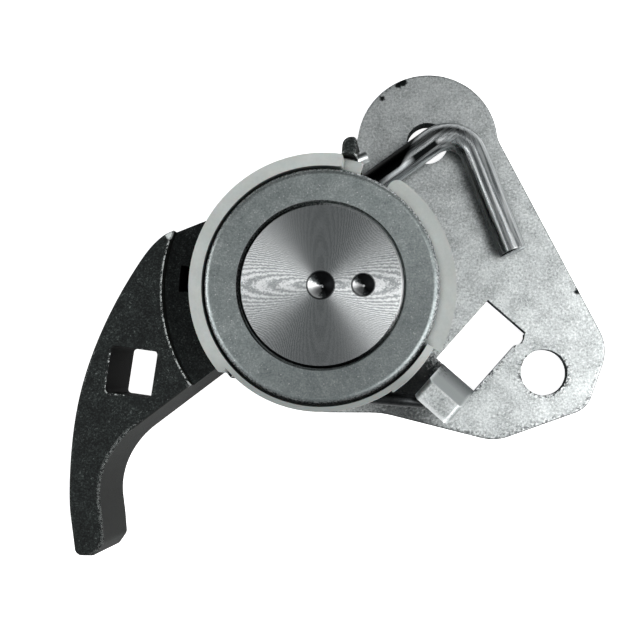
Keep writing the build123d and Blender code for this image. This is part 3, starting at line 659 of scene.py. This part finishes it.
# %% Natural nylon
NYLON_GRAIN_MM = 0.7
NYLON_CLOUD_MM = 6.0
LOW_SHADE_MM = (-14.0, -19.0)
NYLON_TONES = [(0.3, "#B5BAB7"), (0.7, "#CBCFCC")]
shaded_low_nylon = {"data_type": "RGBA", 7: linear("#959A98")}
shaded_nylon = {"data_type": "RGBA", 7: linear("#4F5453")}
natural_nylon = {"Roughness": 0.5, "IOR": 1.53, "Subsurface Weight": 0.15, "Subsurface Scale": 0.001}
nylon, nylon_shader, nylon_place = new_material("moulded_natural_nylon", natural_nylon)
nylon_mix = mottle(nylon, nylon_place, NYLON_GRAIN_MM, NYLON_CLOUD_MM, cloud_share=0.6)
nylon_open = put(nylon, "ShaderNodeValToRGB", {"stops": NYLON_TONES}, {0: nylon_mix})
nylon_low = put(nylon, "ShaderNodeSeparateXYZ", links={0: nylon_place}).outputs["Y"]
# The bottom of the sleeve is painted darker as shade.
nylon_low_shade = put(nylon, "ShaderNodeMapRange", {1: LOW_SHADE_MM[0], 2: LOW_SHADE_MM[1]}, {0: nylon_low})
nylon_seen = put(nylon, "ShaderNodeMix", shaded_low_nylon, {0: nylon_low_shade, 6: nylon_open}).outputs[2]
# Painted shade greys the nylon in its corners, under the ring.
nylon_corner_shade = painted_shade(nylon, reach_mm=2.0, clean_at=0.75, dirty_at=0.3)
nylon_done = put(nylon, "ShaderNodeMix", shaded_nylon, {0: nylon_corner_shade, 6: nylon_seen})
finish_with(nylon, nylon_shader, nylon_done.outputs[2], None, nylon_mix, depth_mm=0.02)
print("sleeve finished")

# %% [markdown]
# The lock pin is drawn rod, polished by its die and then bent, so it mirrors the room in long streaks and its fine
# scratches run along it, first one way and past the bend the other. One noise for both legs would cross one of them,
# so each leg has its own, and a plane through the middle of the bend chooses between them.

# %% Drawn rod
ROD_LEGS_DEG = (35.6, -69.2)
ROD_BEND_MM = (28.6, 38.1, 0.0)
ROD_STRETCH = 0.06
SCRATCH_MM = 0.5
BEND_HALF_MM = 1.0
ROD_SMOOTH, ROD_SCRATCHED = 0.2, 0.36
ROD_TONES = [(0.3, "#8F9394"), (0.5, "#B8BBBC"), (0.7, "#DADCDC")]
rod, rod_shader, rod_place = new_material("drawn_bright_rod", {"Metallic": 1.0})
rod_height = put(rod, "ShaderNodeSeparateXYZ", links={0: rod_place}).outputs["Z"]
rod_marks = []
for degrees in ROD_LEGS_DEG:
    leg_way = {"operation": "DOT_PRODUCT", 1: [ROD_STRETCH * part for part in level_way(degrees)]}
    side_way = {"operation": "DOT_PRODUCT", 1: level_way(degrees + 90.0)}
    along = put(rod, "ShaderNodeVectorMath", leg_way, {0: rod_place}).outputs["Value"]
    across = put(rod, "ShaderNodeVectorMath", side_way, {0: rod_place}).outputs["Value"]
    drawn_out = put(rod, "ShaderNodeCombineXYZ", links={0: along, 1: across, 2: rod_height})
    rod_marks.append(put(rod, "ShaderNodeTexNoise", {"Scale": 1 / SCRATCH_MM, "Detail": 3.0}, {"Vector": drawn_out}))
first_way, second_way = [level_way(degrees) for degrees in ROD_LEGS_DEG]
both_ways = {"operation": "DOT_PRODUCT", 1: [one + other for one, other in zip(first_way, second_way)]}
from_bend = put(rod, "ShaderNodeVectorMath", {"operation": "SUBTRACT", 1: ROD_BEND_MM}, {0: rod_place})
past_bend = put(rod, "ShaderNodeVectorMath", both_ways, {0: from_bend}).outputs["Value"]
which_leg = put(rod, "ShaderNodeMapRange", {1: -BEND_HALF_MM, 2: BEND_HALF_MM}, {0: past_bend})
rod_lines = put(rod, "ShaderNodeMix", links={0: which_leg, 2: rod_marks[0], 3: rod_marks[1]})
rod_tone = put(rod, "ShaderNodeValToRGB", {"stops": ROD_TONES}, {0: rod_lines})
rod_rough = put(rod, "ShaderNodeMapRange", {1: 0.3, 2: 0.7, 3: ROD_SMOOTH, 4: ROD_SCRATCHED}, {0: rod_lines})
print("rod scratches along", ROD_LEGS_DEG, "degrees")

# %% Painted dark reflection on the rod
# The upper flank near the hub is painted black as a dark reflection, which ends in a slanting line.
# A turn is how far the rod's face looks to its upper flank: one on that flank, minus one on the lower one.
REFLECTION_TURN_SHARE = 0.5
REFLECTION_SLANT_PER_MM = -0.09
REFLECTION_ENDS = (1.2, 1.4)
REFLECTION_FLANK = (-0.5, -0.25)
FIRST_LEG_MM = (-4.0, -8.0)
rod_facing = put(rod, "ShaderNodeNewGeometry").outputs["Normal"]
upper_flank = {"operation": "DOT_PRODUCT", 1: level_way(ROD_LEGS_DEG[0] + 90.0)}
turned_up = put(rod, "ShaderNodeVectorMath", upper_flank, {0: rod_facing}).outputs["Value"]
along_first = {"operation": "DOT_PRODUCT", 1: first_way}
to_bend = put(rod, "ShaderNodeVectorMath", along_first, {0: from_bend}).outputs["Value"]
turn_share = put(rod, "ShaderNodeMath", {"operation": "MULTIPLY", 1: REFLECTION_TURN_SHARE}, {0: turned_up})
slant = put(rod, "ShaderNodeMath", {"operation": "MULTIPLY_ADD", 1: REFLECTION_SLANT_PER_MM}, {0: to_bend, 2: turn_share})
reflection_end = put(rod, "ShaderNodeMapRange", {1: REFLECTION_ENDS[0], 2: REFLECTION_ENDS[1]}, {0: slant})
reflection_side = put(rod, "ShaderNodeMapRange", {1: REFLECTION_FLANK[0], 2: REFLECTION_FLANK[1]}, {0: turned_up})
dark_reflection = put(rod, "ShaderNodeMath", {"operation": "MULTIPLY"}, {0: reflection_end, 1: reflection_side})
first_only = put(rod, "ShaderNodeMapRange", {1: FIRST_LEG_MM[0], 2: FIRST_LEG_MM[1]}, {0: past_bend})
reflection_wedge = put(rod, "ShaderNodeMath", {"operation": "MULTIPLY"}, {0: dark_reflection, 1: first_only})
print("oil wedge from the hub")

# %% The painted streak and the dark flanks
# Past the painted reflection's end a short dark streak is painted below the middle of the rod, and its flanks are
# painted darker than its top, as dark reflections.
STREAK_TURN = -0.42
STREAK_HALF_TURN = (0.16, 0.27)
STREAK_MIDDLE_MM = -10.6
STREAK_HALF_MM = (2.8, 5.6)
LOWER_FLANK = (-0.05, -0.4)
LOWER_FLANK_MOST = 0.75
dark_flank_tone = {"data_type": "RGBA", 7: linear("#54585A")}
painted_dark_tone = {"data_type": "RGBA", 7: linear("#060707")}
off_streak = put(rod, "ShaderNodeMath", {"operation": "SUBTRACT", 1: STREAK_TURN}, {0: turned_up})
streak_side = put(rod, "ShaderNodeMath", {"operation": "ABSOLUTE"}, {0: off_streak})
streak_band = put(rod, "ShaderNodeMapRange", {1: STREAK_HALF_TURN[1], 2: STREAK_HALF_TURN[0]}, {0: streak_side})
off_middle = put(rod, "ShaderNodeMath", {"operation": "SUBTRACT", 1: STREAK_MIDDLE_MM}, {0: to_bend})
streak_way = put(rod, "ShaderNodeMath", {"operation": "ABSOLUTE"}, {0: off_middle})
streak_length = put(rod, "ShaderNodeMapRange", {1: STREAK_HALF_MM[1], 2: STREAK_HALF_MM[0]}, {0: streak_way})
streak = put(rod, "ShaderNodeMath", {"operation": "MULTIPLY"}, {0: streak_band, 1: streak_length})
painted_dark = put(rod, "ShaderNodeMath", {"operation": "MAXIMUM"}, {0: reflection_wedge, 1: streak})
lower = {1: LOWER_FLANK[0], 2: LOWER_FLANK[1], 4: LOWER_FLANK_MOST}
lower_side = put(rod, "ShaderNodeMapRange", lower, {0: turned_up})
darkened_lower_flank = put(rod, "ShaderNodeMath", {"operation": "MULTIPLY"}, {0: lower_side, 1: first_only})
steep_side = tilt(rod, flat_at=0.5, steep_at=0.1)
flank = put(rod, "ShaderNodeMath", {"operation": "MAXIMUM"}, {0: steep_side, 1: darkened_lower_flank})
rod_dark_flanks = put(rod, "ShaderNodeMix", dark_flank_tone, {0: flank, 6: rod_tone}).outputs[2]
rod_darkened = put(rod, "ShaderNodeMix", painted_dark_tone, {0: painted_dark, 6: rod_dark_flanks})
finish_with(rod, rod_shader, rod_darkened.outputs[2], rod_rough.outputs[0], rod_lines.outputs[0], depth_mm=0.004)
print("rod finished, streak", 2 * STREAK_HALF_MM[1], "mm long")

# %% [markdown]
# The spring is oil tempered wire, nearly black and smooth. Where it was cut off its end is bare and bright. Three
# pieces hardly show: the bush is oil filled bronze, the washer black nylon and the spacer a slice of drawn tube. Each
# of these could have a network of its own, but one mottle between two tones is all that the eye gets of them.


# %% Wire and inner pieces
def plain_finish(name, settings, grain_mm, cloud_mm, cloud_share, dark, pale, depth_mm):
    """A material of one mottle, which colours the surface between two tones and raises it."""
    material, shader, place = new_material(name, settings)
    grains = mottle(material, place, grain_mm, cloud_mm, cloud_share)
    tone = put(material, "ShaderNodeValToRGB", {"stops": [(0.3, dark), (0.7, pale)]}, {0: grains})
    finish_with(material, shader, tone.outputs[0], None, grains, depth_mm)
    return material


# Each call: name, shader, grain and cloud in millimetres, the cloud's share, the two tones, and the height in mm.
TEMPERED_STEEL = {"Metallic": 1.0, "Roughness": 0.35}
CUT_STEEL = {"Metallic": 1.0, "Roughness": 0.28}
OILED_BRONZE = {"Metallic": 1.0, "Roughness": 0.5}
BLACK_NYLON = {"Roughness": 0.5, "IOR": 1.53}
DRAWN_STEEL = {"Metallic": 1.0, "Roughness": 0.35}
wire = plain_finish("oil_tempered_wire", TEMPERED_STEEL, 0.4, 2.0, 0.5, "#1E1F20", "#454748", 0.01)
cut_wire = plain_finish("bare_cut_wire", CUT_STEEL, 0.4, 2.0, 0.5, "#7B7E7F", "#C3C6C6", 0.01)
bronze = plain_finish("sintered_bronze", OILED_BRONZE, 0.4, 2.0, 0.4, "#8A6B42", "#B08C5A", 0.01)
black = plain_finish("black_moulded_nylon", BLACK_NYLON, 0.5, 3.0, 0.5, "#1B1C1C", "#2A2B2B", 0.005)
tube = plain_finish("drawn_steel_tube", DRAWN_STEEL, 0.4, 2.0, 0.5, "#7E8081", "#9C9E9F", 0.005)
print("finishes:", len(bpy.data.materials))

# %% [markdown]
# Each solid from the frame takes its finish through its own material slot. They could be joined and dressed as one
# mesh, but apart they can still move. The meshes stay as they came.

# %% Dress the solids
FINISHES = {
    "base_plate": zinc,
    "pivot_stud": faced,
    "cap_ring": satin,
    "arm": sinter,
    "spring_sleeve": nylon,
    "lock_pin": rod,
    "bearing_bush": bronze,
    "thrust_washer": black,
    "spacer_ring": tube,
}
for name, finish in FINISHES.items():
    solid = nodes[name]
    solid.data.materials.clear()
    solid.data.materials.append(finish)
print("dressed", len(FINISHES), "solids")

# %% [markdown]
# The spring is the one piece that changes shape: its lower leg stays with the plate and its upper leg goes with the
# arm. A rigid solid can't do that, so the coil is swept again here as a mesh, section by section along the same
# helix and legs.

# %% The spring's line
COIL_R_MM = 21.4
COIL_PITCH_MM = 2.75
COIL_TURNS = 2.4181475
COIL_START_DEG = -94.46689
COIL_LOW_MM = 12.15
TAB_LEG_MM = 22.19
LUG_LEG_MM = 19.8
STEPS_PER_TURN = 96
LEG_SHARES = (0.25, 0.5, 0.75, 1.0)
SHORT_TURN = 0.001


def coil_point(turn):
    """The middle of the wire after this many clockwise turns."""
    angle = math.radians(COIL_START_DEG) - 2 * math.pi * turn
    return Vector((COIL_R_MM * math.cos(angle), COIL_R_MM * math.sin(angle), COIL_LOW_MM + COIL_PITCH_MM * turn))


def spring_path():
    """Leg, coil and leg as one line of points."""
    steps = round(COIL_TURNS * STEPS_PER_TURN)
    coil = [coil_point(COIL_TURNS * step / steps) for step in range(steps + 1)]
    down = (coil_point(0.0) - coil_point(SHORT_TURN)).normalized()
    up = (coil_point(COIL_TURNS) - coil_point(COIL_TURNS - SHORT_TURN)).normalized()
    low_leg = [coil[0] + down * TAB_LEG_MM * share for share in LEG_SHARES[::-1]]
    high_leg = [coil[-1] + up * LUG_LEG_MM * share for share in LEG_SHARES]
    return low_leg + coil + high_leg


spring_line = spring_path()
print("spring line of", len(spring_line), "points")

# %% The wire round it
WIRE_R_MM = 1.35
WIRE_SIDES = 24
BROKEN_EDGE_MM = 0.25


def swept_wire(path, radius_mm, sides, edge_mm):
    """A round wire along a line of points, its two ends broken with a small bevel."""
    mesh = bmesh.new()
    rings = []
    side = Vector((0, 0, 1))
    last = len(path) - 1
    sections = [(0, 0.0, radius_mm - edge_mm), (0, edge_mm, radius_mm)]
    sections += [(index, 0.0, radius_mm) for index in range(1, last)]
    sections += [(last, -edge_mm, radius_mm), (last, 0.0, radius_mm - edge_mm)]
    for index, along, ring_r in sections:
        forward = (path[min(index + 1, last)] - path[max(index - 1, 0)]).normalized()
        side = (side - forward * side.dot(forward)).normalized()
        other = forward.cross(side)
        middle = path[index] + forward * along
        ring = []
        for step in range(sides):
            angle = 2 * math.pi * step / sides
            ring.append(mesh.verts.new((middle + (side * math.cos(angle) + other * math.sin(angle)) * ring_r) * MM))
        rings.append(ring)
    skin(mesh, rings)
    mesh.faces.new(rings[0][::-1])
    mesh.faces.new(rings[-1])
    bmesh.ops.recalc_face_normals(mesh, faces=mesh.faces)
    return mesh


spring = finished(swept_wire(spring_line, WIRE_R_MM, WIRE_SIDES, BROKEN_EDGE_MM), "coiled_spring")
print("spring faces:", len(spring.data.polygons))

# %% Finish of the spring
# The last faces of the mesh are those of the cut end at the lug: the rings next to it, and the two flat caps.
CUT_END_RINGS = 2
CAPS = 2
spring.data.materials.append(wire)
spring.data.materials.append(cut_wire)
for polygon in spring.data.polygons[-(CUT_END_RINGS * WIRE_SIDES + CAPS) :]:
    polygon.material_index = 1
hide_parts("torsion_spring")
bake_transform(spring)
